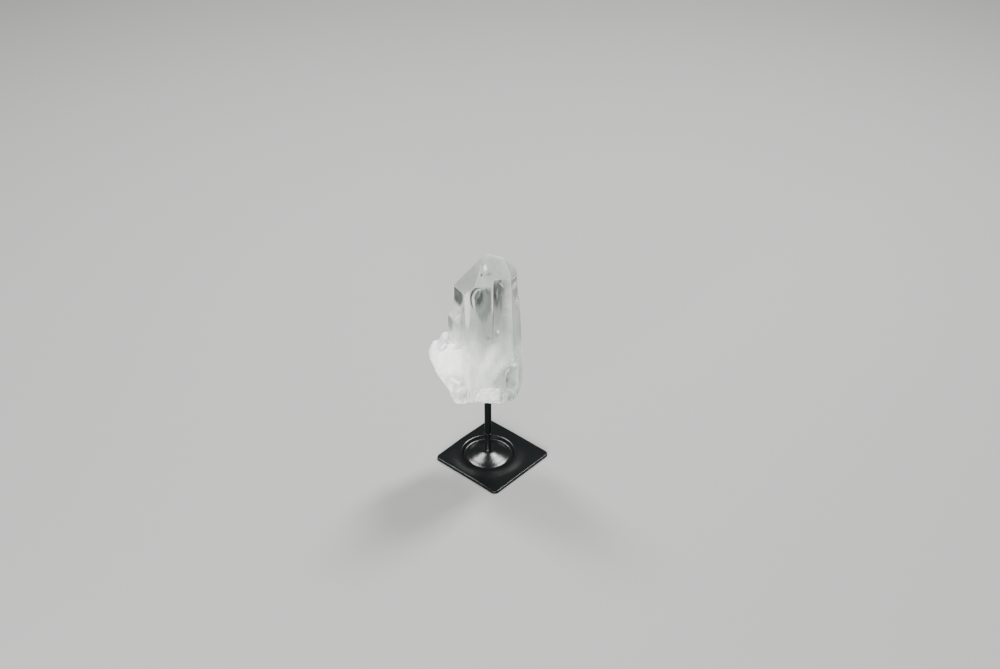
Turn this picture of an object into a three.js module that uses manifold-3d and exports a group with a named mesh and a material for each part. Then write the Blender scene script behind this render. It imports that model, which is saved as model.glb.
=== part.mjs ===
// A lemurian quartz crystal on a small black steel display stand.
//
// The crystal is one natural piece: columns of quartz that grew side by side with shared face directions,
// a shorter point and a broken lump on the left, and a rough break underneath with a blind hole for the
// stem. The stand is a pressed square sheet with a round well and a dome in it, a riveted pin with a
// collar, and a sleeve that slips over the pin and is glued into the crystal.
//
// Units are millimetres, +Z is up, and the front of the piece faces -Y. The origin is on the surface that
// the stand rests on, under the middle of the whole piece's footprint.

import * as THREE from "three";
import { ConvexGeometry } from "three/addons/geometries/ConvexGeometry.js";
import { mergeVertices } from "three/addons/utils/BufferGeometryUtils.js";
import Module from "manifold-3d";

const wasm = await Module();
wasm.setup();

// ---------------------------------------------------------------- driving dimensions

const GAP = 0.3; // left between pieces that touch on the real thing

// Pressed plate, a square with a corner towards the front
const PLATE_SIDE = 70;
const PLATE_CENTRE = [2.2, 0];
const PLATE_CORNER_RADIUS = 4.5;
const SHEET = 1.2;
const RIM_RADIUS = 23.4;
const RIM_HEIGHT = 4;
const EDGE_HEIGHT = 2.4; // top of the plate at its corners
const DOME_HEIGHT = 5.8;
const DOME_FLAT_RADIUS = 3.8; // the level seat of the pin on top of the dome
const VALLEY = { inner: 18.6, outer: 20.2, height: SHEET };

// Stem, on the axis of the well
const STEM = [-1.3, 2.1];
const PIN_RADIUS = 2.6;
const PIN_FOOT_RADIUS = 3.5;
const COLLAR = { bottom: 24.6, height: 1.6, radius: 3.4 };
const RIVET_RADIUS = 1.8;
const SLEEVE_RADIUS = 3;
const SLEEVE_BORE = 2.5;
const SLEEVE_TOP = 84;
const PIN_TOP = 60;

// Crystal, measured from the stem's axis
const FRONT_TURN = 0.8; // how far the front prism face looks to the right, in degrees
const TIP_SLOPE = 51.8; // quartz's rhombohedral tip faces lie this far from the horizontal, in degrees
const CRYSTAL_FOOT = 74;
const UPRIGHT = [0, 0, 0, 0, 0, 0];
const TIPS = [212.2, 222.6, 215.7, 206, 204.6, 211.8]; // where the tip faces' planes cross the axis

// ---------------------------------------------------------------- solids

/** A closed three.js geometry as a manifold-3d solid. */
function solidOf(geometry) {
  const bare = geometry.index ? geometry.toNonIndexed() : geometry.clone();
  for (const name of Object.keys(bare.attributes)) if (name !== "position") bare.deleteAttribute(name);
  const merged = mergeVertices(bare, 1e-4);
  return new wasm.Manifold(
    new wasm.Mesh({
      numProp: 3,
      vertProperties: merged.attributes.position.array,
      triVerts: new Uint32Array(merged.index.array),
    }),
  );
}

/** A manifold-3d solid as a three.js geometry. */
function geometryOf(solid) {
  const mesh = solid.getMesh();
  const geometry = new THREE.BufferGeometry();
  geometry.setAttribute("position", new THREE.BufferAttribute(mesh.vertProperties, mesh.numProp));
  geometry.setIndex(new THREE.BufferAttribute(mesh.triVerts, 1));
  return geometry;
}

const joined = (solids) => solids.reduce((whole, solid) => whole.add(solid));

/** A solid turned about +Z from a profile of [radius, height] points that closes on the axis or on itself. */
function turned(profile, segments = 40) {
  const closed = [...profile, profile[0]].map(([radius, height]) => new THREE.Vector2(radius, height));
  return new THREE.LatheGeometry(closed, segments).rotateX(Math.PI / 2);
}

/** A plain round rod on the axis. */
const rod = (radius, bottom, top) => turned([[0, bottom], [radius, bottom], [radius, top], [0, top]]);

// ---------------------------------------------------------------- quartz

/** The unit vector that points azimuth degrees to the right of the front and slope degrees off vertical. */
function direction(azimuth, slope = 90) {
  const a = THREE.MathUtils.degToRad(azimuth);
  const s = THREE.MathUtils.degToRad(slope);
  return new THREE.Vector3(Math.sin(a) * Math.sin(s), -Math.cos(a) * Math.sin(s), Math.cos(s));
}

/** The plane through a point with that outward normal. */
const planeAt = (normal, point) => ({ normal, offset: normal.dot(point) });

/** The convex solid that is left behind all of the planes. */
function behind(planes) {
  const corners = [];
  for (let i = 0; i < planes.length; i++)
    for (let j = i + 1; j < planes.length; j++)
      for (let k = j + 1; k < planes.length; k++) {
        const [a, b, c] = [planes[i], planes[j], planes[k]];
        const volume = a.normal.dot(new THREE.Vector3().crossVectors(b.normal, c.normal));
        if (Math.abs(volume) < 1e-6) continue;
        const corner = new THREE.Vector3()
          .addScaledVector(new THREE.Vector3().crossVectors(b.normal, c.normal), a.offset)
          .addScaledVector(new THREE.Vector3().crossVectors(c.normal, a.normal), b.offset)
          .addScaledVector(new THREE.Vector3().crossVectors(a.normal, b.normal), c.offset)
          .divideScalar(volume);
        const known = corners.some((other) => other.distanceTo(corner) < 1e-3);
        if (!known && planes.every((p) => p.normal.dot(corner) < p.offset + 1e-5)) corners.push(corner);
      }
  return solidOf(new ConvexGeometry(corners));
}

/**
 * One column of quartz. faces holds the distances of its six prism faces from the axis at the height
 * level, and tips the heights at which the planes of its six tip faces cross the axis. Both run
 * anticlockwise from above: front, front right, right back, back, back left, front left. lean spreads each
 * prism face outwards below by that many degrees, and cuts are further planes.
 */
function quartzColumn({ faces, tips = TIPS, foot = CRYSTAL_FOOT, lean = UPRIGHT, level = 190, cuts = [] }) {
  const planes = [planeAt(direction(0, 180), new THREE.Vector3(0, 0, foot))];
  faces.forEach((distance, i) => {
    const azimuth = FRONT_TURN + 60 * i;
    const onFace = direction(azimuth).multiplyScalar(distance).setZ(level);
    planes.push(planeAt(direction(azimuth, 90 - lean[i]), onFace));
    planes.push(planeAt(direction(azimuth, TIP_SLOPE), new THREE.Vector3(0, 0, tips[i])));
  });
  return behind([...planes, ...cuts]);
}

/** A smooth bumpy value between about -1 and 1 over directions. */
function bumps({ x, y, z }, seed) {
  const wide = Math.sin(4.1 * x + seed) * Math.cos(3.7 * y - 2 * seed) * Math.sin(3.3 * z + 3 * seed);
  const fine = Math.sin(9.3 * x - seed) * Math.cos(8.1 * y + seed) * Math.cos(10.7 * z + 2 * seed);
  return wide + 0.6 * fine;
}

/**
 * A broken lump around a middle point. flats lists its faces as [azimuth, slope, distance from the middle].
 * A higher sharpness makes the edges between them harder, and roughness is how far the surface strays.
 */
function lump({ middle, flats, sharpness = 20, roughness = 0.035, seed = 1, detail = 5 }) {
  const geometry = new THREE.IcosahedronGeometry(1, detail);
  const faces = flats.map(([azimuth, slope, distance]) => direction(azimuth, slope).divideScalar(distance));
  const position = geometry.attributes.position;
  const ray = new THREE.Vector3();
  for (let i = 0; i < position.count; i++) {
    ray.fromBufferAttribute(position, i).normalize();
    const nearness = faces.reduce((sum, face) => sum + Math.max(face.dot(ray), 0) ** sharpness, 0);
    const reach = nearness ** (-1 / sharpness) * (1 + roughness * bumps(ray, seed));
    position.setXYZ(i, middle[0] + reach * ray.x, middle[1] + reach * ray.y, middle[2] + reach * ray.z);
  }
  return solidOf(geometry);
}

/** The six flats of a block of those half sizes, turned about +Z by that many degrees. */
const blockFlats = ([halfX, halfY, halfZ], turn = 0) => [
  [turn, 90, halfY],
  [turn + 90, 90, halfX],
  [turn + 180, 90, halfY],
  [turn + 270, 90, halfX],
  [0, 0, halfZ],
  [0, 180, halfZ],
];

/** An egg of those half sizes, for rounded lumps and for the shell-shaped scoops of broken quartz. */
const egg = (middle, halves, options = {}) =>
  lump({ middle, flats: blockFlats(halves, options.turn), sharpness: 2, roughness: 0, ...options });

// A long bevel behind the crest, and the worn end of the crest
const crestBevels = [
  planeAt(direction(161.6, 50), new THREE.Vector3(0, 0, 204.4)),
  planeAt(direction(262, 27), new THREE.Vector3(-5.2, 0, 205.2)),
];

// The broken lower right corner
const cornerBreaks = [
  planeAt(direction(90), new THREE.Vector3(28.6, 0, 0)),
  planeAt(direction(90, 106), new THREE.Vector3(28.6, 0, 89)),
  planeAt(direction(84, 132), new THREE.Vector3(25.5, 0, 78)),
];

// Columns that share the main tip: the right part of the front is set back behind a middle rib
const mainColumns = [
  quartzColumn({
    faces: [16.2, 22.2, 16.7, 13.6, 19.9, 25.2],
    lean: [0, 3, 3, 0, 0, 0],
    cuts: [...crestBevels, ...cornerBreaks],
  }),
  quartzColumn({ faces: [17.7, 0, 14, 8, 19.9, 25.2], cuts: crestBevels }),
  quartzColumn({ faces: [19.6, 12.5, 14, 8, 14, 21.9], cuts: crestBevels }),
];

// A later layer on the right that stops in a step below the shoulder
const rightLayer = quartzColumn({
  faces: [15.6, 24.3, 19.5, 12, 8, 8],
  lean: [0, 2.9, 2.9, 0, 0, 0],
  level: 168,
  tips: [196, 201, 194, 188, 186, 186],
  cuts: cornerBreaks,
});

// Layers at the back that stop lower down
const backLayers = [
  quartzColumn({
    faces: [0, 17.5, 18.6, 15.2, 9, 4],
    tips: [184, 184, 184, 182, 184, 184],
    cuts: cornerBreaks,
  }),
  quartzColumn({ faces: [0, 4, 6, 17, 22.4, 18], tips: [160, 160, 160, 156, 168, 160] }),
];

// The shorter point that leans on the left side
const sidePoint = quartzColumn({
  faces: [13, -6, -2, 5, 24.7, 30.3],
  tips: [192, 200, 200, 186, 184.9, 192],
  foot: 98,
});

// The broken mass below the side point, in two steps
const brokenFlank = [
  lump({
    middle: [-30, -4, 116],
    flats: [
      [270, 8, 14.6], [270, 63.4, 12.8], [270, 90, 12], [0.8, 90, 9.6], [300, 88, 12.5], [180, 90, 9],
      [235, 90, 12.5], [90, 90, 8], [0, 180, 12],
    ],
    seed: 2.3,
  }),
  lump({
    middle: [-33, -4, 103],
    flats: [
      [270, 24.8, 21.8], [270, 69, 20.4], [270, 96.9, 18.6], [270, 116.2, 9.4], [0.8, 90, 10],
      [318, 86, 12.5], [180, 88, 10], [235, 88, 14], [90, 90, 16], [0, 180, 31],
    ],
    seed: 4.1,
    detail: 7,
  }),
];

// The break underneath: one rough mass with two rounded lobes and a ledge along its front
const brokenFoot = [
  lump({
    middle: [-1, 0.5, 81],
    flats: blockFlats([26, 15.6, 11.5]),
    sharpness: 5,
    roughness: 0.05,
    seed: 6.4,
    detail: 7,
  }),
  lump({ middle: [-20.5, -5, 76.5], flats: blockFlats([9.5, 9, 9.5], 20), sharpness: 4, seed: 0.7 }),
  lump({ middle: [9, -8, 76.5], flats: blockFlats([12, 8.5, 8], -8), sharpness: 4, seed: 1.9 }),
  lump({ middle: [-1.6, -13.5, 82.4], flats: blockFlats([12.2, 7.3, 7.6], 2), sharpness: 7, seed: 3.2 }),
];

// Shell-shaped breaks: one on the lower right of the front, the others around the underside
const chips = [
  egg([26, -22, 91], [14, 11.2, 21]),
  egg([13, 7, 66], [12, 8, 8], { turn: 20 }),
  egg([-14, 6, 65], [9.5, 11, 9], { turn: -15 }),
  egg([-6, -14, 64.5], [8, 7, 8], { detail: 4 }),
  egg([21, -3, 64.5], [8, 7, 9], { detail: 4 }),
  egg([16, 17, 72], [13, 7, 16], { detail: 4 }),
  egg([-28, 13, 70], [11, 9, 20], { detail: 4 }),
];

const stemHole = solidOf(rod(SLEEVE_RADIUS + GAP, 40, SLEEVE_TOP + GAP));

const crystal = joined([...mainColumns, rightLayer, ...backLayers, sidePoint, ...brokenFlank, ...brokenFoot])
  .subtract(joined(chips))
  .subtract(stemHole);

// ---------------------------------------------------------------- stand

/** A rounded square prism with a corner towards the front, between two heights. */
function squarePrism(side, radius, bottom, top) {
  const half = side / 2 - radius;
  const outline = new THREE.Shape();
  outline.absarc(half, half, radius, 0, Math.PI / 2);
  outline.absarc(-half, half, radius, Math.PI / 2, Math.PI);
  outline.absarc(-half, -half, radius, Math.PI, (3 * Math.PI) / 2);
  outline.absarc(half, -half, radius, (3 * Math.PI) / 2, 2 * Math.PI);
  const options = { depth: top - bottom, bevelEnabled: false, curveSegments: 5 };
  const geometry = new THREE.ExtrudeGeometry(outline, options);
  geometry.rotateZ(Math.PI / 4).translate(PLATE_CENTRE[0], PLATE_CENTRE[1], bottom);
  return solidOf(geometry);
}

// Upper side of the plate as [distance from the stem's axis, height]: dome, valley, wall, rim, slope
const PAST_CORNERS = PLATE_SIDE;
const upperSide = [
  [DOME_FLAT_RADIUS, DOME_HEIGHT],
  [9, 4.35],
  [14, 2.85],
  [VALLEY.inner - 1.6, 1.75],
  [VALLEY.inner, VALLEY.height],
  [VALLEY.outer, VALLEY.height],
  [VALLEY.outer + 1.2, 1.9],
  [RIM_RADIUS - 0.9, RIM_HEIGHT - 0.7],
  [RIM_RADIUS, RIM_HEIGHT - 0.1],
  [RIM_RADIUS + 1, RIM_HEIGHT],
  [RIM_RADIUS + 3, RIM_HEIGHT - 0.2],
  [33, 2.9],
  [42, 2.5],
  [PLATE_SIDE / Math.SQRT2, EDGE_HEIGHT],
  [PAST_CORNERS, EDGE_HEIGHT],
];

/** Everything under a surface of revolution around the stem, down to a level. */
function fillUnder(surface, bottom) {
  const profile = [[0, bottom], [0, surface[0][1]], ...surface, [PAST_CORNERS, bottom]].reverse();
  return solidOf(turned(profile, 72).translate(STEM[0], STEM[1], 0));
}

// The sheet is what lies under the upper side, less what lies under the lower side within the skirt.
// The lower side touches the table in the valley.
const lowerSide = upperSide.map(([distance, height]) => [distance, height - SHEET * 1.02]);
const hollow = squarePrism(PLATE_SIDE - 2 * SHEET, PLATE_CORNER_RADIUS - SHEET, -4, DOME_HEIGHT).intersect(
  fillUnder(lowerSide, -3),
);
const rivetHole = solidOf(rod(RIVET_RADIUS + GAP, -1, DOME_HEIGHT + 1).translate(STEM[0], STEM[1], 0));
const plate = squarePrism(PLATE_SIDE, PLATE_CORNER_RADIUS, -1, DOME_HEIGHT + 1)
  .intersect(fillUnder(upperSide, 0))
  .subtract(hollow)
  .subtract(rivetHole);

const PIN_SEAT = DOME_HEIGHT + GAP;
const RIVET_TOP = DOME_HEIGHT - SHEET - GAP;
const pinProfile = [
  [0, RIVET_TOP - 1.3],
  [2.6, RIVET_TOP - 1.3],
  [3.1, RIVET_TOP - 0.8],
  [3.1, RIVET_TOP],
  [RIVET_RADIUS, RIVET_TOP],
  [RIVET_RADIUS, PIN_SEAT],
  [PIN_FOOT_RADIUS, PIN_SEAT],
  [PIN_FOOT_RADIUS, PIN_SEAT + 0.7],
  [PIN_RADIUS + 0.3, PIN_SEAT + 1.1],
  [PIN_RADIUS, PIN_SEAT + 1.6],
  [PIN_RADIUS, COLLAR.bottom],
  [COLLAR.radius - 0.3, COLLAR.bottom + 0.1],
  [COLLAR.radius, COLLAR.bottom + 0.5],
  [COLLAR.radius, COLLAR.bottom + COLLAR.height - 0.5],
  [COLLAR.radius - 0.4, COLLAR.bottom + COLLAR.height],
  [SLEEVE_BORE - GAP, COLLAR.bottom + COLLAR.height],
  [SLEEVE_BORE - GAP, PIN_TOP - 0.8],
  [SLEEVE_BORE - GAP - 0.8, PIN_TOP],
  [0, PIN_TOP],
];

const SLEEVE_BOTTOM = COLLAR.bottom + COLLAR.height + GAP;
const sleeveProfile = [
  [SLEEVE_BORE, SLEEVE_BOTTOM],
  [SLEEVE_RADIUS, SLEEVE_BOTTOM],
  [SLEEVE_RADIUS, SLEEVE_TOP],
  [SLEEVE_BORE, SLEEVE_TOP],
];

// ---------------------------------------------------------------- the piece

const blackPaint = new THREE.MeshStandardMaterial({ color: 0x1c2425, roughness: 0.38, metalness: 0.3 });
const darkSteel = new THREE.MeshStandardMaterial({ color: 0x24282a, roughness: 0.3, metalness: 0.6 });
const quartz = new THREE.MeshStandardMaterial({ color: 0xdfe5e0, roughness: 0.15, flatShading: true });

/** Adds one named mesh at a place. */
function place(name, geometry, material, position) {
  const mesh = new THREE.Mesh(geometry, material);
  mesh.name = name;
  mesh.position.set(...position);
  piece.add(mesh);
}

const piece = new THREE.Group();
const stemPlace = [...STEM, 0];
place("quartz_crystal", geometryOf(crystal), quartz, stemPlace);
place("base_plate", geometryOf(plate), blackPaint, [0, 0, 0]);
place("pin", turned(pinProfile), darkSteel, stemPlace);
place("sleeve", turned(sleeveProfile), darkSteel, stemPlace);

export default piece;
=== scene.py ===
"""The looks of a quartz crystal on a black steel display stand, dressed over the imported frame.

Sizes inside the classes are in millimetres, measured from the stem's axis and up from the table, because
that is how such a small thing is measured. Each finished mesh is brought to metres and to its place.
Finishes read Object coordinates, so their lengths are in metres and the scales of their noises are per metre.
"""

import logging
import math
from abc import ABC, abstractmethod
from collections.abc import Callable, Iterator, Mapping
from contextlib import contextmanager
from dataclasses import dataclass
from enum import Enum
from functools import cache
from typing import ClassVar

import bpy
import numpy as np
from mathutils import Matrix, Vector, noise


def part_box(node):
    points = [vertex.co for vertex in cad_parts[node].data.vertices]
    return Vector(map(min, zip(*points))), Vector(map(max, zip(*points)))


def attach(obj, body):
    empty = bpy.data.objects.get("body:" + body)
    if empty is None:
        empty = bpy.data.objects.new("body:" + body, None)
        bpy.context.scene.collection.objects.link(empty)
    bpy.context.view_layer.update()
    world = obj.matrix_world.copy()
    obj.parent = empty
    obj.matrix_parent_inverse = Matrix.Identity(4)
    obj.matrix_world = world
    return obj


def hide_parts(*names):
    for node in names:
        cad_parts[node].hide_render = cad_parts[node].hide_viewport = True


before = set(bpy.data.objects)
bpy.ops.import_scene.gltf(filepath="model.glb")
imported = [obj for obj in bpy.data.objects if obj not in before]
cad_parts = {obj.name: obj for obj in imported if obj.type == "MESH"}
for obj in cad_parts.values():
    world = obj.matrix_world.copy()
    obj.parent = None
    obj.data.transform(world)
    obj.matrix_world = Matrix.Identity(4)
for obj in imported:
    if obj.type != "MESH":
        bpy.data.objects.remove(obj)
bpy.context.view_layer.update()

MM = 0.001
LOG = logging.getLogger("scene")

Numbers = tuple[float, ...]
Socket = bpy.types.NodeSocket
Feed = Socket | float | Numbers  # what an input socket can be given


# ---------------------------------------------------------------- places in the frame


def box_mm(node: str) -> tuple[Numbers, Numbers]:
    """Where a node of the frame lies.

    Args:
        node: the node's name.

    Returns:
        Its lowest and its highest corner, in millimetres to the hundredth.
    """
    low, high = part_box(node)
    return tuple(round(value / MM, 2) for value in low), tuple(round(value / MM, 2) for value in high)


def middle_mm(node: str) -> Vector:
    """The point on the table under the middle of a node, in millimetres."""
    low, high = box_mm(node)
    return Vector((round((low[0] + high[0]) / 2, 2), round((low[1] + high[1]) / 2, 2), 0.0))


STEM_AXIS = middle_mm("pin")


# ---------------------------------------------------------------- bench work


def deselect_everything() -> None:
    """Leaves no object selected and none being edited."""
    bpy.ops.object.select_all(action="DESELECT")
    bpy.context.view_layer.objects.active = None


def only(piece: bpy.types.Object) -> None:
    """Makes one object the selected and active one.

    Args:
        piece: the object to work on.
    """
    deselect_everything()
    piece.select_set(True)
    bpy.context.view_layer.objects.active = piece


@contextmanager
def editing(piece: bpy.types.Object) -> Iterator[None]:
    """Edit mode on one object, with all of it selected.

    Args:
        piece: the object to edit.

    Returns:
        A context in which edit mode operators act on the object.
    """
    only(piece)
    bpy.ops.object.mode_set(mode="EDIT")
    bpy.ops.mesh.select_all(action="SELECT")
    yield
    bpy.ops.object.mode_set(mode="OBJECT")


def put_in_mesh(piece: bpy.types.Object) -> bpy.types.Object:
    """Moves an object's place into its mesh.

    Args:
        piece: the object.

    Returns:
        The object, which sits at the origin.
    """
    piece.data.transform(piece.matrix_world)
    piece.matrix_world = Matrix.Identity(4)
    return piece


def finish_with(piece: bpy.types.Object, kind: str, **settings: object) -> None:
    """Adds a modifier to an object and applies it.

    Args:
        piece: the object to change.
        kind: Blender's name for the modifier.
        settings: the modifier's values by name.
    """
    only(piece)
    modifier = piece.modifiers.new(kind.title(), kind)
    for name, value in settings.items():
        setattr(modifier, name, value)
    bpy.ops.object.modifier_apply(modifier=modifier.name)


def break_edges(
    piece: bpy.types.Object, width: float, segments: int, angle: float, material: int = -1
) -> None:
    """Rounds an object's sharp edges.

    Args:
        piece: the object to change.
        width: how wide the rounding is.
        segments: how many faces it has across.
        angle: edges that turn by more than this many degrees are rounded.
        material: the material slot that the rounding takes, or -1 for the one next to it.
    """
    finish_with(
        piece,
        "BEVEL",
        width=width,
        segments=segments,
        limit_method="ANGLE",
        angle_limit=math.radians(angle),
        material=material,
    )


def combine(piece: bpy.types.Object, other: bpy.types.Object, operation: str) -> None:
    """Joins another solid to an object or cuts it out, and removes the other solid.

    Args:
        piece: the object that stays.
        other: the solid that is used up.
        operation: UNION or DIFFERENCE.
    """
    finish_with(
        piece, "BOOLEAN", object=other, operation=operation, solver="MANIFOLD", material_mode="TRANSFER"
    )
    bpy.data.objects.remove(other)


def reshape(piece: bpy.types.Object, change: Callable[[np.ndarray], np.ndarray]) -> None:
    """Moves every vertex of an object.

    Args:
        piece: the object to change.
        change: takes the places of the vertices, one per row, and gives their new places.
    """
    vertices = piece.data.vertices
    places = np.empty(len(vertices) * 3)
    vertices.foreach_get("co", places)
    vertices.foreach_set("co", change(places.reshape(-1, 3)).ravel())
    piece.data.update()


def swell(piece: bpy.types.Object, height: Callable[[Vector], float]) -> None:
    """Moves every vertex of an object out along its normal.

    Args:
        piece: the object to change.
        height: gives how far, from the vertex's place.
    """
    normals = np.empty(len(piece.data.vertices) * 3)
    piece.data.vertices.foreach_get("normal", normals)

    def moved(places: np.ndarray) -> np.ndarray:
        """The places, each moved along its vertex's normal."""
        heights = np.array([height(Vector(place)) for place in places])
        return places + normals.reshape(-1, 3) * heights[:, None]

    reshape(piece, moved)


def keep_largest(piece: bpy.types.Object) -> bpy.types.Object:
    """Takes away the loose crumbs that cutting leaves.

    Args:
        piece: the object, which may be in several loose parts.

    Returns:
        The largest of the parts.
    """
    with editing(piece):
        bpy.ops.mesh.separate(type="LOOSE")
    parts = sorted(bpy.context.selected_objects, key=lambda part: len(part.data.vertices))
    for crumb in parts[:-1]:
        bpy.data.objects.remove(crumb)
    return parts[-1]


def settle(piece: bpy.types.Object, name: str) -> bpy.types.Object:
    """Brings a mesh from millimetres round the stem's axis to metres in the frame, and names it.

    Args:
        piece: the object, modelled in millimetres.
        name: the finished piece's name.

    Returns:
        The object, which sits at the origin with its place in its mesh.
    """
    place = Matrix.Scale(MM, 4) @ Matrix.Translation(STEM_AXIS)
    piece.data.transform(place @ piece.matrix_world)
    piece.matrix_world = Matrix.Identity(4)
    piece.name = piece.data.name = name
    return piece


class Piece(ABC):
    """A piece of the object, which stands for one node of the frame and takes one slot's finish."""

    node: ClassVar[str]
    slot: ClassVar[str]

    @abstractmethod
    def build(self) -> bpy.types.Object:
        """Makes the piece's mesh in its place."""

    @abstractmethod
    def dress(self, piece: bpy.types.Object) -> None:
        """Gives the piece its finish."""

    def install(self) -> bpy.types.Object:
        """Builds and dresses the piece, and ties it to the frame.

        Returns:
            The finished piece.
        """
        piece = self.build()
        self.dress(piece)
        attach(piece, "root")
        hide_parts(self.node)
        return piece


# ---------------------------------------------------------------- shader nodes


FLOAT, VECTOR, COLOUR = "NodeSocketFloat", "NodeSocketVector", "NodeSocketColor"
MIXED_COLOURS = (0, 6, 7)  # a Mix node's sockets for the share and the two colours
MIXED_RESULT = 2


def colour(red: float, green: float, blue: float) -> Numbers:
    """A linear colour with full alpha."""
    return (red, green, blue, 1.0)


class Bench:
    """Builds the nodes of one material or group."""

    def __init__(self, tree: bpy.types.NodeTree) -> None:
        """Starts with the tree's nodes cleared.

        Args:
            tree: the node tree to fill.
        """
        self.tree = tree
        tree.nodes.clear()

    def feed(self, socket: Socket, value: Feed) -> None:
        """Links another node's output to an input, or sets the input to a value.

        Args:
            socket: the input.
            value: the output's socket, or a number, vector or colour.
        """
        if isinstance(value, Socket):
            self.tree.links.new(value, socket)
        else:
            socket.default_value = value

    def add(self, kind: str, **values: object) -> bpy.types.Node:
        """Adds a node.

        Args:
            kind: the node's Blender type.
            values: its properties by name; a value named by a socket with spaces as _ goes to the socket.

        Returns:
            The node.
        """
        node = self.tree.nodes.new(kind)
        for name, value in values.items():
            socket = next((s for s in node.inputs if s.name.replace(" ", "_") == name), None)
            if socket is None:
                setattr(node, name, value)
            else:
                self.feed(socket, value)
        return node

    def math(self, operation: str, first: Feed, second: Feed = 0.0) -> Socket:
        """Adds a Math node on two values.

        Args:
            operation: Blender's name for the sum.
            first: the first value.
            second: the second value, where the operation takes one.

        Returns:
            The result's socket.
        """
        node = self.add("ShaderNodeMath", operation=operation)
        for socket, value in zip(node.inputs, (first, second)):
            self.feed(socket, value)
        return node.outputs[0]

    def vector(self, operation: str, first: Feed, second: Feed = (0.0, 0.0, 0.0)) -> Socket:
        """Adds a Vector Math node on two vectors.

        Args:
            operation: Blender's name for the sum.
            first: the first vector.
            second: the second vector, where the operation takes one.

        Returns:
            The result's socket, a value for DOT_PRODUCT and LENGTH and else a vector.
        """
        node = self.add("ShaderNodeVectorMath", operation=operation)
        for socket, value in zip(node.inputs, (first, second)):
            self.feed(socket, value)
        return node.outputs["Value" if operation in ("DOT_PRODUCT", "LENGTH") else "Vector"]

    def ramp(self, value: Feed, low: Feed, high: Feed, to: Numbers = (0.0, 1.0)) -> Socket:
        """A value brought smoothly from one range to another.

        Args:
            value: the value to read.
            low: where the result is the first of to.
            high: where it is the second of to.
            to: the results at both ends.

        Returns:
            The result's socket.
        """
        node = self.add(
            "ShaderNodeMapRange",
            interpolation_type="SMOOTHSTEP",
            Value=value,
            From_Min=low,
            From_Max=high,
            To_Min=to[0],
            To_Max=to[1],
        )
        return node.outputs[0]

    def blend(self, share: Feed, first: Feed, second: Feed) -> Socket:
        """Mixes two colours.

        Args:
            share: how much of the second colour is laid over the first, from 0 to 1.
            first: the colour below.
            second: the colour above.

        Returns:
            The mixed colour's socket.
        """
        node = self.add("ShaderNodeMix", data_type="RGBA")
        for index, value in zip(MIXED_COLOURS, (share, first, second)):
            self.feed(node.inputs[index], value)
        return node.outputs[MIXED_RESULT]

    def noise(
        self, place: Socket, scale: float | Numbers, detail: float, roughness: float = 0.5, lean: float = 0.0
    ) -> bpy.types.Node:
        """Adds a noise.

        Args:
            place: the coordinates' socket.
            scale: its scale, the same all round or along X, Y and Z.
            detail: how many finer noises are laid over it.
            roughness: how strong they are.
            lean: radians by which a stretched noise leans about Y.

        Returns:
            The noise's node.
        """
        if isinstance(scale, tuple):
            stretched = self.add("ShaderNodeMapping", Vector=place, Rotation=(0.0, lean, 0.0), Scale=scale)
            place, scale = stretched.outputs[0], 1.0
        return self.add("ShaderNodeTexNoise", Vector=place, Scale=scale, Detail=detail, Roughness=roughness)


def made_group(
    name: str, inputs: dict[str, str], outputs: dict[str, str]
) -> tuple[Bench, Mapping[str, Socket], Mapping[str, Socket]]:
    """Starts a shader node group.

    Args:
        name: the group's name.
        inputs: its inputs' socket types by name.
        outputs: its outputs' socket types by name.

    Returns:
        The bench to build on, and by name the sockets that give the inputs and take the outputs.
    """
    group = bpy.data.node_groups.new(name, "ShaderNodeTree")
    for way, sockets in (("INPUT", inputs), ("OUTPUT", outputs)):
        for label, kind in sockets.items():
            group.interface.new_socket(label, in_out=way, socket_type=kind)
    bench = Bench(group)
    return bench, bench.add("NodeGroupInput").outputs, bench.add("NodeGroupOutput").inputs


# ---------------------------------------------------------------- quartz finishes


class Grade(Enum):
    """The kinds of surface on the crystal, by the name of their material."""

    BODY = "quartz_face"
    EDGE = "quartz_worn_edge"
    BROKEN = "quartz_broken"
    SHELL = "quartz_shell_break"

    def material(self) -> bpy.types.Material:
        """The grade's material, made empty the first time."""
        return bpy.data.materials.get(self.value) or bpy.data.materials.new(self.value)


class Faces(Enum):
    """The crystal's faces that a patch shows in."""

    UPRIGHT = "upright"
    ALL = "all"


class Grain(Enum):
    """The noise that breaks up a patch's outline."""

    FIBRES = "fibres"
    CRUMBS = "crumbs"


class Tone(Enum):
    """What the quartz is like in a patch: its tint, which paints shade or light, and what the patch adds to
    the cloudiness.
    """

    # painted shade: near black, where clear quartz is painted as dark as what shows through it
    CLEAR = (colour(0.012, 0.016, 0.015), -0.6)
    # painted shade: dark grey, where the quartz is partly clear
    HAZY_PAINTED_GREY = (colour(0.105, 0.12, 0.114), -0.4)
    # milky white, for milky places and also for painted highlights, glints and lit bands
    MILKY_AND_PAINTED_LIGHT = (colour(0.97, 0.985, 0.95), 0.6)

    def __init__(self, tint: Numbers, cloudiness: float) -> None:
        """Names the two values of a tone.

        Args:
            tint: the tone's linear colour.
            cloudiness: what it adds to the cloudiness, from 0, clear, to 1, milky.
        """
        self.tint = tint
        self.cloudiness = cloudiness


@dataclass(frozen=True)
class Surface:
    """The sockets that tell a patch where on the crystal it is.

    upright is 1 on upright faces and 0 on the tip's.
    """

    place: Socket
    wander: Socket
    grains: dict[Grain, Socket]
    upright: Socket


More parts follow.
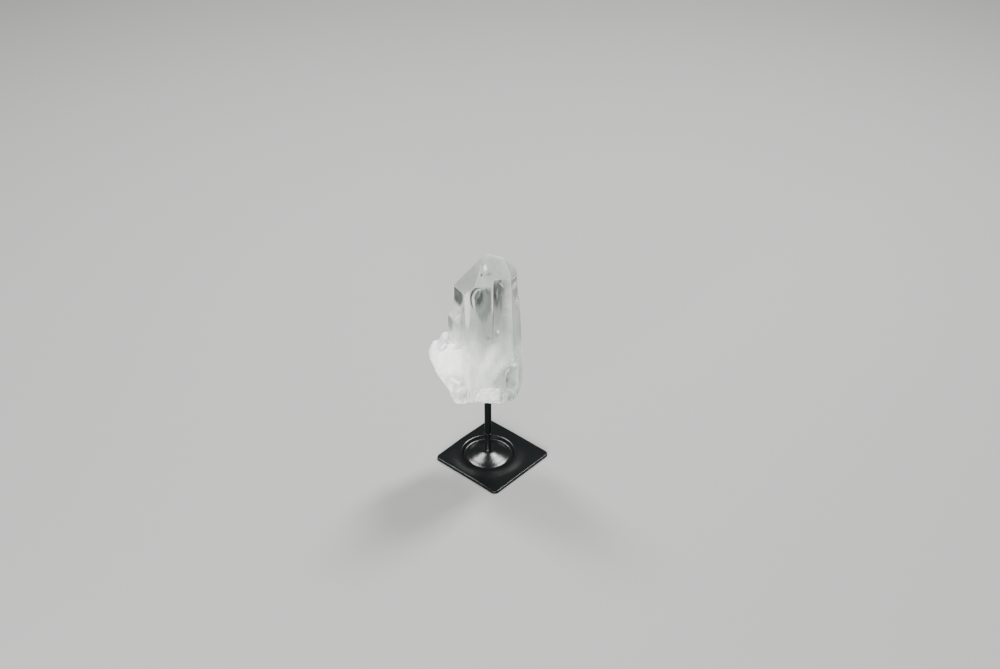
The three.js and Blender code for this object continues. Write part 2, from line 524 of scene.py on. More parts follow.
@dataclass(frozen=True)
class Patch:
    """A patch of painted tone on the quartz, in millimetres from the stem's axis: dark painted shade where
    the quartz is clearer, and white for milky places and painted highlights.

    turn leans it to the left in degrees, drop is how quickly it fades below its middle, against above it,
    soft is how wide its edge fades, ragged how far its outline strays and broken how much grain breaks it.
    """

    tone: Tone
    middle: Numbers
    reach: Numbers
    depth: float
    faces: Faces = Faces.UPRIGHT
    turn: float = 0.0
    drop: float = 1.0
    soft: float = 0.5
    ragged: float = 3.0
    broken: float = 0.5
    grain: Grain = Grain.FIBRES

    def mask(self, bench: Bench, marker: bpy.types.NodeTree, surface: Surface) -> Socket:
        """The patch's strength over the surface.

        Args:
            bench: where the look is built.
            marker: the group that marks a patch.
            surface: what the patch needs to know of the surface.

        Returns:
            The strength's socket.
        """
        node = bench.add(
            "ShaderNodeGroup",
            node_tree=marker,
            Place=surface.place,
            Wander=surface.wander,
            Grain=surface.grains[self.grain],
            Middle=(Vector(self.middle) + STEM_AXIS) * MM,
            Reach=Vector(self.reach) * MM,
            Turn=math.radians(self.turn),
            Drop=self.drop,
            Soft=self.soft,
            Ragged=self.ragged * MM,
            Broken=self.broken,
        )
        strength = bench.math("MULTIPLY", node.outputs["Mask"], self.depth)
        return bench.math("MULTIPLY", strength, surface.upright) if self.faces is Faces.UPRIGHT else strength


def patch_group() -> bpy.types.NodeTree:
    """Builds the group that marks a patch in quartz, which is round above and fades away below.

    Returns:
        The group, which gives the patch's mask.
    """
    bench, given, result = made_group(
        "quartz_patch",
        {
            "Place": VECTOR, "Wander": VECTOR, "Grain": FLOAT, "Middle": VECTOR, "Reach": VECTOR,
            "Turn": FLOAT, "Drop": FLOAT, "Soft": FLOAT, "Ragged": FLOAT, "Broken": FLOAT,
        },
        {"Mask": FLOAT},
    )
    strayed = bench.add(
        "ShaderNodeVectorMath", operation="SCALE", Vector=given["Wander"], Scale=given["Ragged"]
    )
    away = bench.vector("SUBTRACT", bench.vector("ADD", given["Place"], strayed.outputs[0]), given["Middle"])
    turned_back = bench.add(
        "ShaderNodeVectorRotate", rotation_type="Y_AXIS", Vector=away, Angle=given["Turn"]
    )
    shares = bench.vector("DIVIDE", turned_back.outputs[0], given["Reach"])
    split = bench.add("ShaderNodeSeparateXYZ", Vector=shares)
    above = bench.math("MAXIMUM", split.outputs["Z"], 0.0)
    below = bench.math("MULTIPLY", bench.math("MINIMUM", split.outputs["Z"], 0.0), given["Drop"])
    joined = bench.add(
        "ShaderNodeCombineXYZ", X=split.outputs["X"], Y=split.outputs["Y"], Z=bench.math("ADD", above, below)
    )
    frayed = bench.math("MULTIPLY", bench.math("SUBTRACT", given["Grain"], 0.5), given["Broken"])
    distance = bench.math("ADD", bench.vector("LENGTH", joined.outputs[0]), frayed)
    half = bench.math("MULTIPLY", given["Soft"], 0.5)
    inner, outer = bench.math("SUBTRACT", 1.0, half), bench.math("ADD", 1.0, half)
    bench.feed(result["Mask"], bench.ramp(distance, inner, outer, (1.0, 0.0)))
    return bench.tree


def fleck(
    tone: Tone,
    middle: Numbers,
    reach: Numbers,
    depth: float,
    faces: Faces = Faces.UPRIGHT,
    turn: float = 0.0,
    soft: float = 0.9,
    ragged: float = 4.0,
    broken: float = 3.0,
) -> Patch:
    """A small mark that breaks up into crumbs.

    Args:
        tone: what the quartz is like in it.
        middle: where it is.
        reach: how far it reaches along X, Y and Z.
        depth: how strong it is.
        faces: the faces that it shows in.
        turn: degrees by which it leans to the left.
        soft: how wide its edge fades.
        ragged: how far its outline strays.
        broken: how much grain breaks it.

    Returns:
        The mark as a patch.
    """
    return Patch(
        tone, middle, reach, depth, faces, turn, soft=soft, ragged=ragged, broken=broken, grain=Grain.CRUMBS
    )


CLEAR, HAZY_PAINTED_GREY, MILKY_AND_PAINTED_LIGHT = Tone
# Painted shade and light over the body: dark and grey patches paint what shows through clearer quartz, white
# ones lighten bands and milky places.
BODY_PATCHES = (
    Patch(CLEAR, (1.5, -17, 168), (14, 12, 14), 0.3, drop=0.4, soft=0.9, ragged=8),
    Patch(CLEAR, (17, -14, 100), (12, 12, 18), 0.4, Faces.ALL, soft=1.1, ragged=8),
    Patch(CLEAR, (-18, -8, 191), (11, 15, 12), 0.25, Faces.ALL, turn=-20, soft=0.9, ragged=4),
    Patch(HAZY_PAINTED_GREY, (-20, -14, 147), (9, 9, 16), 0.34, Faces.ALL, soft=1.2, ragged=7),
    Patch(CLEAR, (-22, -15, 81), (7.5, 9, 6.5), 0.6, Faces.ALL, soft=1.2, ragged=6),
    Patch(CLEAR, (16, -9, 77), (9, 14, 8), 0.75, Faces.ALL, soft=1.1, ragged=6),
    Patch(HAZY_PAINTED_GREY, (4, -19, 108), (16, 9, 34), 0.27, soft=1.2, ragged=12, broken=0.6),
    Patch(HAZY_PAINTED_GREY, (12, -18, 99), (12, 10, 20), 0.4, soft=1.2, ragged=10, broken=0.6),
    Patch(HAZY_PAINTED_GREY, (13, -16, 166), (7, 10, 32), 0.36, soft=1.1, ragged=6, broken=0.8),
    Patch(HAZY_PAINTED_GREY, (14.5, -17, 123), (5, 9, 9), 0.25, soft=1.2, ragged=6, broken=0.6),
    Patch(HAZY_PAINTED_GREY, (-3, -18, 147), (9, 9, 16), 0.36, soft=1.2, ragged=7, broken=0.8),
    Patch(MILKY_AND_PAINTED_LIGHT, (-1, -19, 116), (3.4, 9, 14), 0.45, turn=-24, soft=1.8, ragged=10, broken=0.6),
    Patch(MILKY_AND_PAINTED_LIGHT, (9, -19, 110), (2.6, 9, 12), 0.35, turn=-28, soft=1.8, ragged=10, broken=0.6),
    Patch(MILKY_AND_PAINTED_LIGHT, (20, -10, 168), (7, 12, 24), 0.35, soft=1.2, ragged=8, broken=0.7),
)
# Painted shade and light on the left shoulder: a dark facet, a painted highlight along its left edge and a
# lighter painted arch below it.
SHOULDER_PATCHES = (
    Patch(CLEAR, (-23.6, -9.5, 176), (6.6, 8, 8), 0.97, drop=0.7, soft=0.35, ragged=2.5, broken=0.4),
    Patch(HAZY_PAINTED_GREY, (-25.2, -9.5, 174), (1.2, 8, 7), 0.18, turn=-35, soft=0.9, ragged=2.5, broken=0.5),
    Patch(CLEAR, (-19.2, -12, 166), (0.8, 6, 5), 0.55, turn=-8, soft=1.1, ragged=1),
    Patch(MILKY_AND_PAINTED_LIGHT, (-27, -3.9, 177), (0.8, 1.8, 9.5), 0.85, soft=0.6, ragged=0.5, broken=0.3),
    Patch(MILKY_AND_PAINTED_LIGHT, (-24, -10, 157.5), (3.4, 6, 9), 0.2, soft=0.35, ragged=2.5, broken=0.4),
    Patch(MILKY_AND_PAINTED_LIGHT, (-27.5, -8, 157), (5.5, 6, 6), 0.35, Faces.ALL, soft=0.9, ragged=2.5),
    Patch(CLEAR, (-30.4, -9, 148.5), (2.3, 5, 6.5), 0.66, drop=0.7, soft=0.9, ragged=3.5, broken=0.8),
)
# Painted dark arches under the tips with lighter painted lines inside them, a painted lit band on the left
# column and a painted highlight along an upright edge.
ARCHES = (
    Patch(MILKY_AND_PAINTED_LIGHT, (-16.6, -19.6, 174), (2.4, 3, 12), 0.42, drop=0.5, soft=0.6, ragged=1, broken=0.7),
    Patch(CLEAR, (-8.4, -18, 178), (6, 8, 10.2), 0.92, drop=0.75, soft=0.2, ragged=1.8, broken=0.3),
    Patch(MILKY_AND_PAINTED_LIGHT, (-6.6, -18, 177), (6, 8, 9.4), 0.66, drop=0.6, soft=0.22, ragged=1.6, broken=0.3),
    Patch(HAZY_PAINTED_GREY, (-4, -18, 176.3), (7.3, 8, 9.6), 0.95, drop=0.45, soft=0.3, ragged=2, broken=0.6),
    Patch(CLEAR, (-7.4, -18, 178.6), (4, 8, 7), 0.95, drop=0.8, soft=0.8, ragged=2.5, broken=1.1),
    Patch(CLEAR, (0.6, -18, 184), (3, 8, 3), 0.4, soft=1, ragged=3, broken=0.8),
    fleck(MILKY_AND_PAINTED_LIGHT, (-7.4, -18, 181), (1.4, 8, 3), 0.07, turn=-20, soft=1.1, broken=2),
    fleck(MILKY_AND_PAINTED_LIGHT, (-9.2, -18, 175), (1, 8, 3), 0.05, turn=-8, soft=1.1, broken=2),
    Patch(MILKY_AND_PAINTED_LIGHT, (3.4, -17.5, 176), (0.8, 4, 15), 0.9, soft=0.5, ragged=0.5, broken=0.3),
    Patch(CLEAR, (7.7, -16, 181.5), (4.3, 8, 10.5), 0.85, drop=0.7, soft=1, ragged=3.5, broken=1.7),
    Patch(HAZY_PAINTED_GREY, (13, -16, 183), (5, 8, 8), 0.3, drop=0.6, soft=1, ragged=4, broken=1.2),
    fleck(MILKY_AND_PAINTED_LIGHT, (10.2, -16, 187.2), (0.4, 5, 2.6), 0.45, turn=38, soft=1.1, ragged=3, broken=2),
    Patch(MILKY_AND_PAINTED_LIGHT, (7.2, -16, 178), (0.3, 5, 5), 0.2, turn=-4, soft=1.2, ragged=3, broken=2),
    Patch(CLEAR, (7, -16, 164), (3.4, 8, 14), 0.16, soft=0.9, ragged=4, broken=1.2),
)
# Small painted marks: painted dark spots, and painted glints and highlights, among them on the etch pit, on a
# small facet low on the left and by the right edge.
SMALL_MARKS = (
    Patch(CLEAR, (20.5, -10, 188), (3.5, 8, 4.5), 0.5, soft=0.9, ragged=6, broken=1.8),
    Patch(CLEAR, (21.5, -9, 176), (2.4, 8, 5), 0.4, soft=0.9, ragged=6, broken=1.6),
    fleck(MILKY_AND_PAINTED_LIGHT, (21, -11, 183), (2, 6, 2), 0.7, turn=40),
    fleck(MILKY_AND_PAINTED_LIGHT, (23.5, -8, 164), (1.8, 6, 4.6), 0.8, turn=15),
    Patch(CLEAR, (22.6, -5, 160), (1.4, 6, 6), 0.3, soft=0.8, ragged=3, broken=1.2),
    fleck(CLEAR, (-35.6, -12, 125.6), (4.2, 12, 0.9), 0.55, Faces.ALL, 48, soft=1.2, ragged=1.4, broken=2),
    fleck(MILKY_AND_PAINTED_LIGHT, (-1.8, -10.2, 199.2), (1.3, 2, 2.8), 0.85, Faces.ALL, soft=1.1, ragged=1.2, broken=1),
    fleck(CLEAR, (-3.8, -9, 202), (1, 1.5, 1.8), 0.3, Faces.ALL, -20, soft=1.2, ragged=2.5, broken=2),
    Patch(CLEAR, (-26.5, -13, 93), (9, 8, 6.5), 0.32, Faces.ALL, turn=-40, soft=1.2, ragged=5),
    Patch(MILKY_AND_PAINTED_LIGHT, (-26.8, -13, 92), (5.6, 6, 1.4), 1, Faces.ALL, turn=-42, soft=0.6, ragged=2),
    fleck(CLEAR, (-4.9, -13.6, 194.9), (0.9, 1.5, 1), 0.8, Faces.ALL, soft=1, ragged=2, broken=2.4),
    fleck(CLEAR, (0.6, -13.6, 195.2), (2.2, 1.8, 1.1), 0.4, Faces.ALL, 10, soft=1, ragged=3),
    fleck(CLEAR, (6.5, -18, 142), (1.6, 6, 2.4), 0.4, ragged=2, broken=2.6),
    fleck(MILKY_AND_PAINTED_LIGHT, (7.4, -18, 144), (0.9, 6, 2), 0.5, ragged=3, broken=2.4),
    fleck(CLEAR, (-0.6, -18, 139), (1.8, 6, 2), 0.35, soft=1.2, ragged=3, broken=2.6),
    fleck(MILKY_AND_PAINTED_LIGHT, (14.6, -17, 102.5), (1.3, 8, 5.4), 0.75, Faces.ALL, -16),
    fleck(MILKY_AND_PAINTED_LIGHT, (20.6, -15, 110), (4, 8, 2.4), 0.8, Faces.ALL, -35),
    fleck(MILKY_AND_PAINTED_LIGHT, (20.1, -10, 190), (2.8, 5, 0.9), 0.7, ragged=2, broken=1.6),
    Patch(MILKY_AND_PAINTED_LIGHT, (19, -4, 200), (8, 10, 9), 0.2, Faces.ALL, soft=1.2, ragged=5),
)
# The same painted dark and light tones on the back.
BACK_PATCHES = (
    Patch(CLEAR, (6, 15, 176), (8, 9, 16), 0.6, drop=0.5, soft=0.8, ragged=6, broken=0.9),
    Patch(CLEAR, (-15, 12, 164), (5, 9, 12), 0.7, drop=0.5, soft=0.6, ragged=5, broken=0.9),
    Patch(MILKY_AND_PAINTED_LIGHT, (-6, 15, 160), (5, 8, 22), 0.5, soft=0.8, ragged=6, broken=0.9),
)


@dataclass(frozen=True)
class MilkyClouds:
    """The milk in quartz: clouds that thicken downwards, thin veils through them and fine upright streaks."""

    top: float = 0.157  # where the milk has thinned out
    bottom: float = 0.1  # where it is thickest
    upwards: Numbers = (0.35, 0.0, 1.0)  # the way that it thins out, so it reaches higher on the left
    cloud_scale: float = 38.0
    cloud_height: float = 0.07
    veil_scale: Numbers = (95.0, 95.0, 22.0)
    veil_lean: float = -0.3
    veil_range: Numbers = (0.42, 0.72)
    veil_depth: float = 0.42
    streak_scale: Numbers = (260.0, 260.0, 14.0)
    streak_range: Numbers = (0.38, 0.66)

    def milk(self, bench: Bench, place: Socket) -> Socket:
        """How milky the quartz is.

        Args:
            bench: where the look is built.
            place: the coordinates' socket.

        Returns:
            A socket from 0, clear, to 1, milky.
        """
        cloud = bench.noise(place, self.cloud_scale, detail=5.0, roughness=0.62).outputs["Fac"]
        wander = bench.math("MULTIPLY", bench.math("SUBTRACT", cloud, 0.5), self.cloud_height)
        height = bench.math("ADD", bench.vector("DOT_PRODUCT", place, self.upwards), wander)
        thick = bench.math("SUBTRACT", 1.0, bench.ramp(height, self.bottom, self.top))
        veil = bench.noise(place, self.veil_scale, detail=4.0, lean=self.veil_lean).outputs["Fac"]
        thinner = bench.ramp(veil, *self.veil_range, (0.0, self.veil_depth))
        return bench.math("MULTIPLY", thick, bench.math("SUBTRACT", 1.0, thinner))

    def streak(self, bench: Bench, place: Socket) -> Socket:
        """How much of a dark streak there is.

        Args:
            bench: where the look is built.
            place: the coordinates' socket.

        Returns:
            A socket from 0, none, to 1, the middle of a streak.
        """
        drawn = bench.noise(place, self.streak_scale, detail=3.0, roughness=0.55).outputs["Fac"]
        return bench.ramp(drawn, *self.streak_range)


@dataclass(frozen=True)
class QuartzLook:
    """What all grades of the quartz share, in one node group: its milk, its patches of painted shade and
    light, and its fine relief.
    """

    clouds: MilkyClouds = MilkyClouds()
    patches: tuple[Patch, ...] = (*BODY_PATCHES, *SHOULDER_PATCHES, *ARCHES, *SMALL_MARKS, *BACK_PATCHES)
    streak_depth: float = 0.1
    tip_facing: Numbers = (0.5, 0.35)  # how far a tip face looks up, and an upright face at most
    wander_scale: float = 120.0
    fibre_scale: Numbers = (560.0, 560.0, 70.0)
    crumb_scale: float = 620.0
    grain_scale: float = 900.0
    growth_scale: Numbers = (30.0, 30.0, 1100.0)

    def surface(self, bench: Bench, place: Socket, facing: Socket) -> Surface:
        """Works out what the patches need to know of the surface.

        Args:
            bench: where the look is built.
            place: the coordinates' socket.
            facing: the normal's socket, in the crystal's own directions.

        Returns:
            The sockets.
        """
        upwards = bench.add("ShaderNodeSeparateXYZ", Vector=facing).outputs["Z"]
        wander = bench.noise(place, self.wander_scale, detail=4.0, roughness=0.6).outputs["Color"]
        return Surface(
            place=place,
            wander=bench.vector("SUBTRACT", wander, (0.5, 0.5, 0.5)),
            grains={
                Grain.FIBRES: bench.noise(place, self.fibre_scale, detail=3.0, roughness=0.6).outputs["Fac"],
                Grain.CRUMBS: bench.noise(place, self.crumb_scale, detail=3.0, roughness=0.6).outputs["Fac"],
            },
            upright=bench.ramp(bench.math("ABSOLUTE", upwards), *self.tip_facing),
        )

    def group(self) -> bpy.types.NodeTree:
        """Builds the group.

        Returns:
            The group, which gives the tint, the cloudiness and the height of the fine relief.
        """
        bench, given, result = made_group(
            "quartz_look",
            {
                "Place": VECTOR, "Facing": VECTOR, "Clear Tint": COLOUR, "Milky Tint": COLOUR,
                "Patches": FLOAT, "Growth Lines": FLOAT,
            },
            {"Tint": COLOUR, "Cloudiness": FLOAT, "Relief": FLOAT},
        )
        surface = self.surface(bench, given["Place"], given["Facing"])
        cloudiness = self.clouds.milk(bench, surface.place)
        # clear quartz takes its painted dark grey tint, milky quartz its white
        tint = bench.blend(cloudiness, given["Clear Tint"], given["Milky Tint"])
        streak = bench.math("MULTIPLY", self.clouds.streak(bench, surface.place), self.streak_depth)
        # the dark streaks take the painted dark tint of clear quartz
        tint = bench.blend(streak, tint, CLEAR.tint)
        marker = patch_group()
        # each patch lays its painted shade or light over the tint
        for patch in self.patches:
            share = bench.math("MULTIPLY", patch.mask(bench, marker, surface), given["Patches"])
            tint = bench.blend(share, tint, patch.tone.tint)
            cloudiness = bench.math("ADD", cloudiness, bench.math("MULTIPLY", share, patch.tone.cloudiness))
        grain = bench.noise(surface.place, self.grain_scale, detail=3.0).outputs["Fac"]
        growth = bench.noise(surface.place, self.growth_scale, detail=2.0).outputs["Fac"]
        lines = bench.math("MULTIPLY", bench.math("MULTIPLY", growth, surface.upright), given["Growth Lines"])
        bench.feed(result["Tint"], tint)
        bench.feed(result["Cloudiness"], cloudiness)
        bench.feed(result["Relief"], bench.math("ADD", grain, lines))
        return bench.tree


@dataclass(frozen=True)
class QuartzFinish:
    """The finish of one grade of the quartz: glassy where clear, and scattering light where milky."""

    grade: Grade
    transmission: float
    # the tint of clear quartz is a dark grey, painted shade for what shows through it
    clear_tint_painted_dark: Numbers = colour(0.405, 0.425, 0.398)
    milky_tint: Numbers = colour(0.92, 0.938, 0.89)
    patches: float = 1.0
    clear_roughness: float = 0.06
    milky_roughness: float = 0.4
    ior: float = 1.544
    scatter_depth: float = 0.008
    absorbed_tint: Numbers = colour(0.86, 0.93, 0.9)
    absorption: float = 10.0
    bump: float = 0.15
    bump_height: float = 0.0004
    growth_lines: float = 0.6

    def roughness(self, bench: Bench, cloudiness: Socket) -> Feed:
        """The roughness.

        Args:
            bench: where the material is built.
            cloudiness: the cloudiness's socket.

        Returns:
            One value where it is the same all over, or else a socket that follows the cloudiness.
        """
        if self.clear_roughness == self.milky_roughness:
            return self.clear_roughness
        return bench.add(
            "ShaderNodeMapRange", Value=cloudiness, To_Min=self.clear_roughness, To_Max=self.milky_roughness
        ).outputs[0]

    def dress(self, look: bpy.types.NodeTree) -> None:
        """Fills the grade's material with its nodes.

        Args:
            look: the group that all grades share.
        """
        material = self.grade.material()
        material.use_nodes = True
        bench = Bench(material.node_tree)
        coordinates = bench.add("ShaderNodeTexCoord").outputs
        shared = bench.add(
            "ShaderNodeGroup",
            node_tree=look,
            Place=coordinates["Object"],
            Facing=coordinates["Normal"],
            Clear_Tint=self.clear_tint_painted_dark,
            Milky_Tint=self.milky_tint,
            Patches=self.patches,
            Growth_Lines=self.growth_lines,
        ).outputs
        bump = bench.add(
            "ShaderNodeBump", Strength=self.bump, Distance=self.bump_height, Height=shared["Relief"]
        )
        shader = bench.add(
            "ShaderNodeBsdfPrincipled",
            Base_Color=shared["Tint"],
            Roughness=self.roughness(bench, shared["Cloudiness"]),
            IOR=self.ior,
            Transmission_Weight=self.transmission,
            Subsurface_Weight=1.0,
            Subsurface_Radius=(1.0, 1.0, 1.0),
            Subsurface_Scale=self.scatter_depth,
            Normal=bump.outputs[0],
        )
        inside = bench.add("ShaderNodeVolumeAbsorption", Color=self.absorbed_tint, Density=self.absorption)
        bench.add("ShaderNodeOutputMaterial", Surface=shader.outputs[0], Volume=inside.outputs[0])


QUARTZ_FINISHES = (
    QuartzFinish(Grade.BODY, transmission=0.6),
    QuartzFinish(
        Grade.EDGE,
        transmission=0.6,
        clear_tint_painted_dark=colour(0.2, 0.212, 0.2),
        milky_tint=colour(0.72, 0.735, 0.7),
        patches=0.35,
        clear_roughness=0.75,
        milky_roughness=0.75,
    ),
    QuartzFinish(
        Grade.BROKEN,
        transmission=0.52,
        milky_tint=colour(0.985, 0.995, 0.965),
        clear_roughness=0.3,
        scatter_depth=0.003,
        bump=0.7,
        growth_lines=0.0,
    ),
    QuartzFinish(Grade.SHELL, transmission=0.6, milky_roughness=0.25, bump=0.2, growth_lines=0.0),
)


# ---------------------------------------------------------------- metal finishes


SKIN_GRAIN_SCALE = 1900.0
SKIN_GLOSS_SCALE = 70.0


@cache
def metal_skin() -> bpy.types.NodeTree:
    """Builds the group of a black finish's fine grain and uneven gloss, the first time that it is asked for.

    Returns:
        The group, which gives both as values from 0 to 1.
    """
    bench, given, result = made_group(
        "black_finish_skin", {"Place": VECTOR}, {"Grain": FLOAT, "Gloss": FLOAT}
    )
    bench.feed(result["Grain"], bench.noise(given["Place"], SKIN_GRAIN_SCALE, detail=2.0).outputs["Fac"])
    bench.feed(result["Gloss"], bench.noise(given["Place"], SKIN_GLOSS_SCALE, detail=4.0).outputs["Fac"])
    return bench.tree


@dataclass(frozen=True)
class BlackFinish:
    """A thin black finish on steel, with a fine grain."""

    name: str
    roughness: float
    specular: float
    tint: Numbers = colour(0.0022, 0.0028, 0.0028)
    unevenness: float = 0.05
    grain_strength: float = 0.6
    grain_height: float = 0.00006

    def dress(self, piece: bpy.types.Object) -> None:
        """Builds the finish's material and puts it on a piece.

        Args:
            piece: the object to finish.
        """
        material = bpy.data.materials.new(self.name)
        material.use_nodes = True
        bench = Bench(material.node_tree)
        place = bench.add("ShaderNodeTexCoord").outputs["Object"]
        skin = bench.add("ShaderNodeGroup", node_tree=metal_skin(), Place=place).outputs
        bump = bench.add(
            "ShaderNodeBump", Strength=self.grain_strength, Distance=self.grain_height, Height=skin["Grain"]
        )
        rough = bench.add(
            "ShaderNodeMapRange",
            Value=skin["Gloss"],
            To_Min=self.roughness - self.unevenness,
            To_Max=self.roughness + self.unevenness,
        )
        shader = bench.add(
            "ShaderNodeBsdfPrincipled",
            Base_Color=self.tint,
            Roughness=rough.outputs[0],
            Specular_IOR_Level=self.specular,
            Normal=bump.outputs[0],
        )
        bench.add("ShaderNodeOutputMaterial", Surface=shader.outputs[0])
        piece.data.materials.append(material)


SATIN_PAINT = BlackFinish("satin_black_paint", roughness=0.22, specular=0.17)
LACQUERED_STEEL = BlackFinish("black_lacquered_steel", roughness=0.18, specular=0.3)
DULL_TUBE = BlackFinish("satin_black_tube", roughness=0.36, specular=0.03)


# ---------------------------------------------------------------- quartz


FRONT_TURN = 0.8  # degrees that the front prism face looks to the right
TIP_SLOPE = 51.8  # degrees between quartz's tip faces and the horizontal
UPRIGHT = (0.0,) * 6
TIP_HEIGHTS = (212.2, 222.6, 215.7, 208.3, 207.0, 211.8)
FOOT_HEIGHT = 74.0
BLANK_SIDE = 320.0  # the block that a column is cut from
WELD = 0.01  # corners of a column that lie closer than this become one
SCALLOP_REACH = 0.75  # how far a scallop reaches from its deepest point, in scallops
SEED_STEP = 9.0  # how far apart the chips of two lumps are taken from the pattern


def direction(azimuth: float, slope: float = 90.0) -> Vector:
    """A unit vector by its angles.

    Args:
        azimuth: degrees to the right of the front, seen from above.
        slope: degrees away from straight up.

    Returns:
        The vector.
    """
    turn, lean = math.radians(azimuth), math.radians(slope)
    return Vector((math.sin(turn) * math.sin(lean), -math.cos(turn) * math.sin(lean), math.cos(lean)))


@dataclass(frozen=True)
class Cleft:
    """A flat cut: what lies beyond the plane is taken away."""

    azimuth: float
    slope: float
    point: Numbers

    def cut(self) -> None:
        """Cuts the mesh that is being edited and closes it again."""
        bpy.ops.mesh.select_all(action="SELECT")
        bpy.ops.mesh.bisect(
            plane_co=self.point, plane_no=direction(self.azimuth, self.slope), use_fill=True, clear_outer=True
        )


@dataclass(frozen=True)
class Column:
    """A column of quartz with six prism faces and six tip faces, listed anticlockwise from the front.

    faces are the distances of the prism faces from the axis at the height level, tips the heights at which
    the planes of the tip faces cross the axis, and lean the degrees by which a prism face spreads below.
    """

    faces: Numbers
    tips: Numbers = TIP_HEIGHTS
    lean: Numbers = UPRIGHT
    foot: float = FOOT_HEIGHT
    level: float = 190.0
    cuts: tuple[Cleft, ...] = ()
    edge: float = 0.13
    sharpest_kept: float = 15.0  # edges that turn by fewer degrees aren't worn

    def clefts(self) -> list[Cleft]:
        """Works out the planes that bound the column.

        Returns:
            The foot's plane, each prism face with its tip face, and the column's own cuts.
        """
        planes = [Cleft(0.0, 180.0, (0.0, 0.0, self.foot))]
        for number, (distance, tip, lean) in enumerate(zip(self.faces, self.tips, self.lean)):
            azimuth = FRONT_TURN + 60 * number
            on_face = direction(azimuth) * distance
            planes.append(Cleft(azimuth, 90 - lean, (on_face.x, on_face.y, self.level)))
            planes.append(Cleft(azimuth, TIP_SLOPE, (0.0, 0.0, tip)))
        return [*planes, *self.cuts]

    def build(self) -> bpy.types.Object:
        """Cuts the column from a block and wears its edges.

        Returns:
            The column as a closed solid.
        """
        deselect_everything()
        bpy.ops.mesh.primitive_cube_add(size=BLANK_SIDE, location=(0, 0, self.level))
        column = put_in_mesh(bpy.context.object)
        with editing(column):
            for cleft in self.clefts():
                cleft.cut()
            bpy.ops.mesh.select_all(action="SELECT")
            bpy.ops.mesh.remove_doubles(threshold=WELD)
            bpy.ops.mesh.normals_make_consistent(inside=False)
        for grade in (Grade.BODY, Grade.EDGE):
            column.data.materials.append(grade.material())
        break_edges(column, self.edge, segments=2, angle=self.sharpest_kept, material=1)
        return column


def ripple(ray: np.ndarray, seed: float) -> np.ndarray:
    """A smooth bumpy value between about -1 and 1 over directions, wide waves with finer ones on them.

    Args:
        ray: unit vectors, one per row.
        seed: picks the pattern.

    Returns:
        One value per row.
    """
    x, y, z = ray.T
    wide = np.sin(4.1 * x + seed) * np.cos(3.7 * y - 2 * seed) * np.sin(3.3 * z + 3 * seed)
    fine = np.sin(9.3 * x - seed) * np.cos(8.1 * y + seed) * np.cos(10.7 * z + 2 * seed)
    return wide + 0.6 * fine


def chipping(place: Vector, size: float) -> float:
    """How deep a chipped surface lies at a place, from 0 on a ridge to 1 in the bottom of a scallop.

    Args:
        place: the point, in millimetres.
        size: the usual width of a scallop.

    Returns:
        The depth's share.
    """
    nearest = noise.voronoi(place / size, distance_metric="DISTANCE")[0][0]
    return max(0.0, 1.0 - (nearest / SCALLOP_REACH) ** 2)


@dataclass(frozen=True)
class Chips:
    """How a broken surface is chipped: scallops of two sizes, and how deep each goes."""

    size: float = 5.5
    depth: float = 0.42
    small_size: float = 1.7
    small_depth: float = 0.1

    def depth_at(self, place: Vector) -> float:
        """Both scallops' depth at a place.

        Args:
            place: the point, in millimetres.

        Returns:
            The depth, in millimetres.
        """
        return self.depth * chipping(place, self.size) + self.small_depth * chipping(place, self.small_size)


UNCHIPPED = Chips(depth=0.0, small_depth=0.0)


@dataclass(frozen=True)
class Lump:
    """A broken lump around a middle point, whose flats are listed as (azimuth, slope, distance).

    A higher sharpness makes the edges between the flats harder, and roughness is how far the surface strays.
    """

    middle: Numbers
    flats: tuple[Numbers, ...]
    sharpness: float = 20.0
    roughness: float = 0.035
    seed: float = 1.0
    subdivisions: int = 6
    chips: Chips = Chips()
    grade: Grade = Grade.BROKEN

    def shaped(self, ray: np.ndarray) -> np.ndarray:
        """The lump's surface in the direction of each ray, before it is chipped.

        Args:
            ray: unit vectors, one per row.

        Returns:
            Points round the middle, one per row.
        """
        faces = np.array([direction(azimuth, slope) / distance for azimuth, slope, distance in self.flats])
        nearness = (np.maximum(ray @ faces.T, 0.0) ** self.sharpness).sum(axis=1)
        reach = nearness ** (-1 / self.sharpness) * (1 + self.roughness * ripple(ray, self.seed))
        return ray * reach[:, None]

    def build(self) -> bpy.types.Object:
        """Shapes the lump from a ball and chips its surface.

        Returns:
            The lump as a closed solid.
        """
        deselect_everything()
        bpy.ops.mesh.primitive_ico_sphere_add(subdivisions=self.subdivisions, radius=1)
        ball = bpy.context.object
        reshape(ball, lambda places: self.shaped(places / np.linalg.norm(places, axis=1)[:, None]))
        if self.chips.depth:
            away = Vector((SEED_STEP * self.seed, 0, 0))
            swell(ball, lambda place: -self.chips.depth_at(place + away))
        ball.data.transform(Matrix.Translation(Vector(self.middle)))
        ball.data.materials.append(self.grade.material())
        only(ball)
        bpy.ops.object.shade_smooth()
        return ball


def block_flats(half_x: float, half_y: float, half_z: float, turn: float = 0.0) -> tuple[Numbers, ...]:
    """The six flats of a block.

    Args:
        half_x: half its width.
        half_y: half its depth.
        half_z: half its height.
        turn: degrees that it is turned about the vertical.

    Returns:
        The flats as (azimuth, slope, distance).
    """
    return (
        (turn, 90, half_y),
        (turn + 90, 90, half_x),
        (turn + 180, 90, half_y),
        (turn + 270, 90, half_x),
        (0, 0, half_z),
        (0, 180, half_z),
    )


